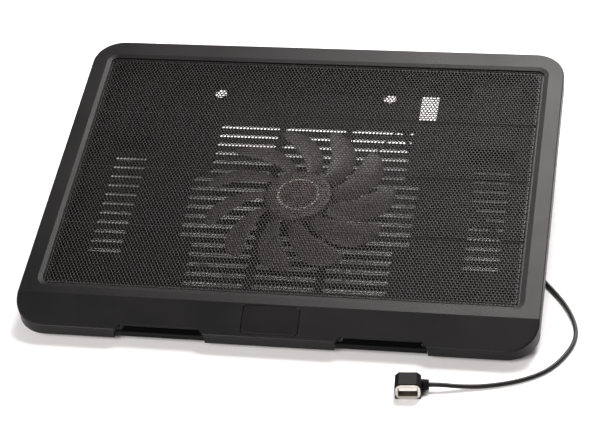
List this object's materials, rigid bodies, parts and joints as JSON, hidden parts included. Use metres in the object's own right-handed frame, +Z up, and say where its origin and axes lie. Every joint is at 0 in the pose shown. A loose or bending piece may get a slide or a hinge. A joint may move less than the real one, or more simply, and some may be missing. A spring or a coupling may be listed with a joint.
{
  "type": "laptop cooling pad",
  "caption": "Leaning laptop cooling pad: moulded case with a steel mesh top, a large fan, vented base, fold-out rear legs, swing-up front stoppers and a short USB lead with a pass-through plug.",
  "frame": {"origin": "on the table, under the middle of the pad as it stands on its front feet and its opened rear legs", "axes": "+X to the right along the pad's width, +Y towards the raised rear edge, +Z up"},
  "size_m": [0.3842, 0.314, 0.077],
  "materials": {
    "cover_plastic": "fine-textured moulded ABS",
    "shell_plastic": "moulded ABS, satin",
    "badge_plastic": "smooth satin plate",
    "mesh_steel": "black powder-coated perforated steel",
    "screw_steel": "black oxide",
    "foot_rubber": "matte rubber",
    "motor_plastic": "moulded",
    "circuit_board": "green solder mask",
    "bush_brass": "turned",
    "stator_steel": "stamped laminations",
    "coil_copper": "enamelled copper wire",
    "pin_steel": "ground",
    "lead_jacket": "flexible PVC",
    "gland_rubber": "moulded flexible PVC",
    "cord_jacket": "extruded PVC jacket",
    "plug_plastic": "moulded PVC",
    "usb_metal": "nickel-plated steel",
    "usb_insulator": "white insulator",
    "usb_gold": "gold-plated contact",
    "rotor_plastic": "grey translucent-look PBT, satin",
    "magnet_ferrite": "bonded ferrite",
    "hub_ring_plastic": "pale moulded ring",
    "hub_label_film": "printed film, plain",
    "stopper_plastic": "moulded ABS",
    "leg_plastic": "moulded ABS"
  },
  "bodies": {
    "base": {"top_cover": "cover_plastic", "front_badge": "badge_plastic", "mesh_panel": "mesh_steel", "bottom_shell": "shell_plastic", "case_screws": "screw_steel", "front_feet": "foot_rubber", "rear_pads": "foot_rubber", "motor_plate": "motor_plastic", "fan_screws": "screw_steel", "fan_circuit_board": "circuit_board", "shaft_bush": "bush_brass", "stator_core": "stator_steel", "stator_coils": "coil_copper", "stopper_pin_left": "pin_steel", "stopper_pin_right": "pin_steel", "leg_pin_left": "pin_steel", "leg_pin_right": "pin_steel", "fan_lead": "lead_jacket", "cord_gland": "gland_rubber", "usb_cord": "cord_jacket", "cord_boot": "gland_rubber", "usb_plug_body": "plug_plastic", "usb_port_shell": "usb_metal", "usb_port_tongue": "usb_insulator", "usb_contacts": "usb_gold", "usb_male_shell": "usb_metal", "usb_male_block": "usb_insulator"},
    "rotor": {"fan_rotor": "rotor_plastic", "fan_shaft": "pin_steel", "rotor_yoke": "stator_steel", "rotor_magnet": "magnet_ferrite", "hub_ring": "hub_ring_plastic", "hub_label": "hub_label_film"},
    "left_stopper": {"stopper_left": "stopper_plastic", "stopper_grip_left": "foot_rubber"},
    "right_stopper": {"stopper_right": "stopper_plastic", "stopper_grip_right": "foot_rubber"},
    "left_leg": {"rear_leg_left": "leg_plastic", "leg_cap_left": "foot_rubber"},
    "right_leg": {"rear_leg_right": "leg_plastic", "leg_cap_right": "foot_rubber"}
  },
  "joints": [
    {"name": "fan_spin", "type": "hinge", "parent": "base", "child": "rotor", "pos_m": [0, -0.00789, 0.0368], "axis": [0, -0.2079, 0.9781], "continuous": true},
    {"name": "left_stopper_swing", "type": "hinge", "parent": "base", "child": "left_stopper", "pos_m": [-0.076, -0.13333, 0.00696], "axis": [-1, 0, 0], "range_deg": [0, 270]},
    {"name": "right_stopper_swing", "type": "hinge", "parent": "base", "child": "right_stopper", "pos_m": [0.076, -0.13333, 0.00696], "axis": [-1, 0, 0], "range_deg": [0, 270]},
    {"name": "left_leg_fold", "type": "hinge", "parent": "base", "child": "left_leg", "pos_m": [-0.132, 0.10799, 0.05581], "axis": [-1, 0, 0], "range_deg": [0, 90]},
    {"name": "right_leg_fold", "type": "hinge", "parent": "base", "child": "right_leg", "pos_m": [0.132, 0.10799, 0.05581], "axis": [-1, 0, 0], "range_deg": [0, 90]}
  ]
}
